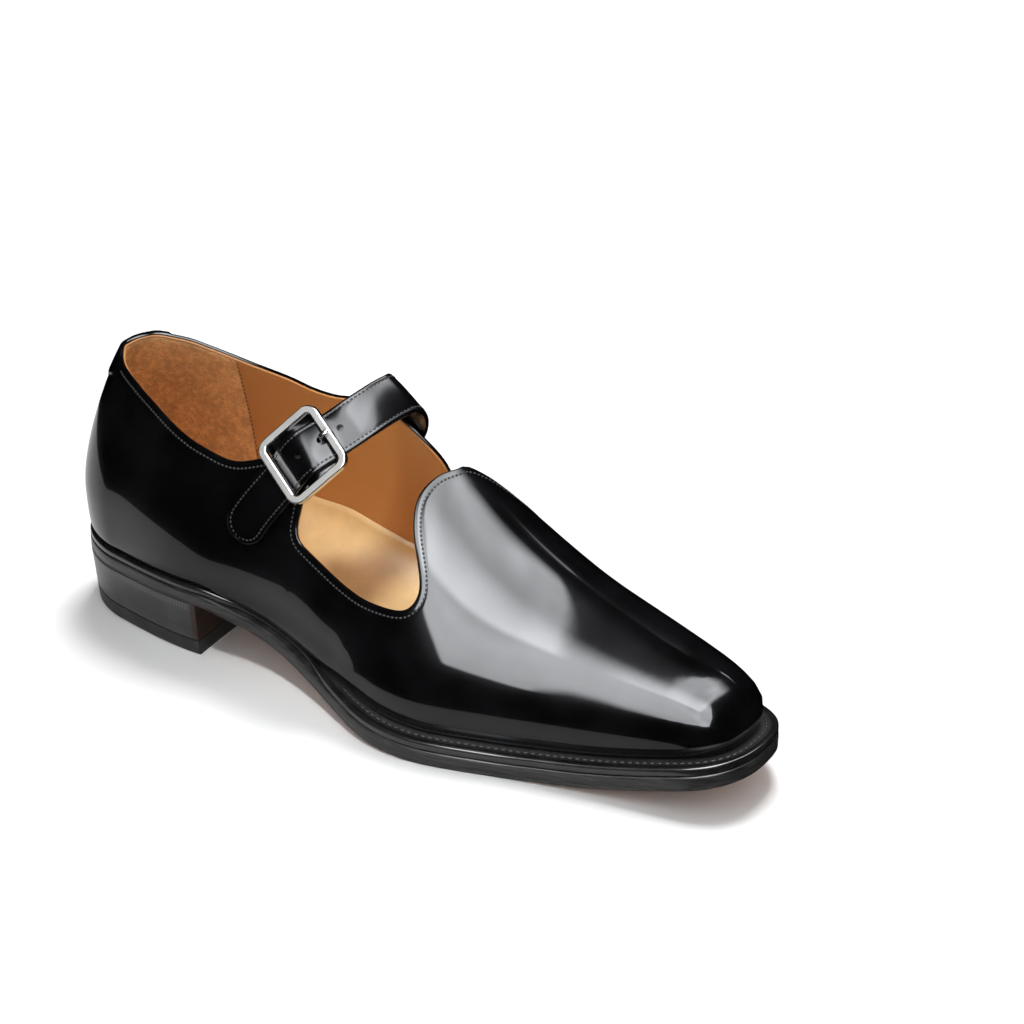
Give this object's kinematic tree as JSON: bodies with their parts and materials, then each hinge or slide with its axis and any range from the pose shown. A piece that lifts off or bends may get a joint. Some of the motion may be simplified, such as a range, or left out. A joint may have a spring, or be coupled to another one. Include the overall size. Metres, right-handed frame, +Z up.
{
  "type": "monk strap shoe",
  "caption": "Low black leather monk strap shoe with an open throat, a lobed vamp, a buckled strap, a welted leather sole and a stacked heel.",
  "frame": {"origin": "middle of the bounding box's base, on the floor the shoe stands on", "axes": "+X towards the toe, +Y towards the medial (inner) side, +Z up; a right shoe, so the buckle is on the -Y side"},
  "size_m": [0.297, 0.1014, 0.1162],
  "materials": {
    "upper_leather": "high-polish black calf",
    "sole_edge": "black waxed leather edge",
    "sole_leather": "brown sole leather, waxed",
    "top_lift": "black, fine matt",
    "lining_leather": "natural tan lining leather",
    "buckle_metal": "polished steel"
  },
  "bodies": {
    "root": {"outsole": "sole_leather", "welt": "sole_edge", "heel_stack": "sole_edge", "top_lift": "top_lift", "insole": "lining_leather", "upper": "upper_leather", "strap": "upper_leather", "buckle_frame": "buckle_metal", "buckle_prong": "buckle_metal", "buckle_tab": "upper_leather"}
  },
  "joints": []
}
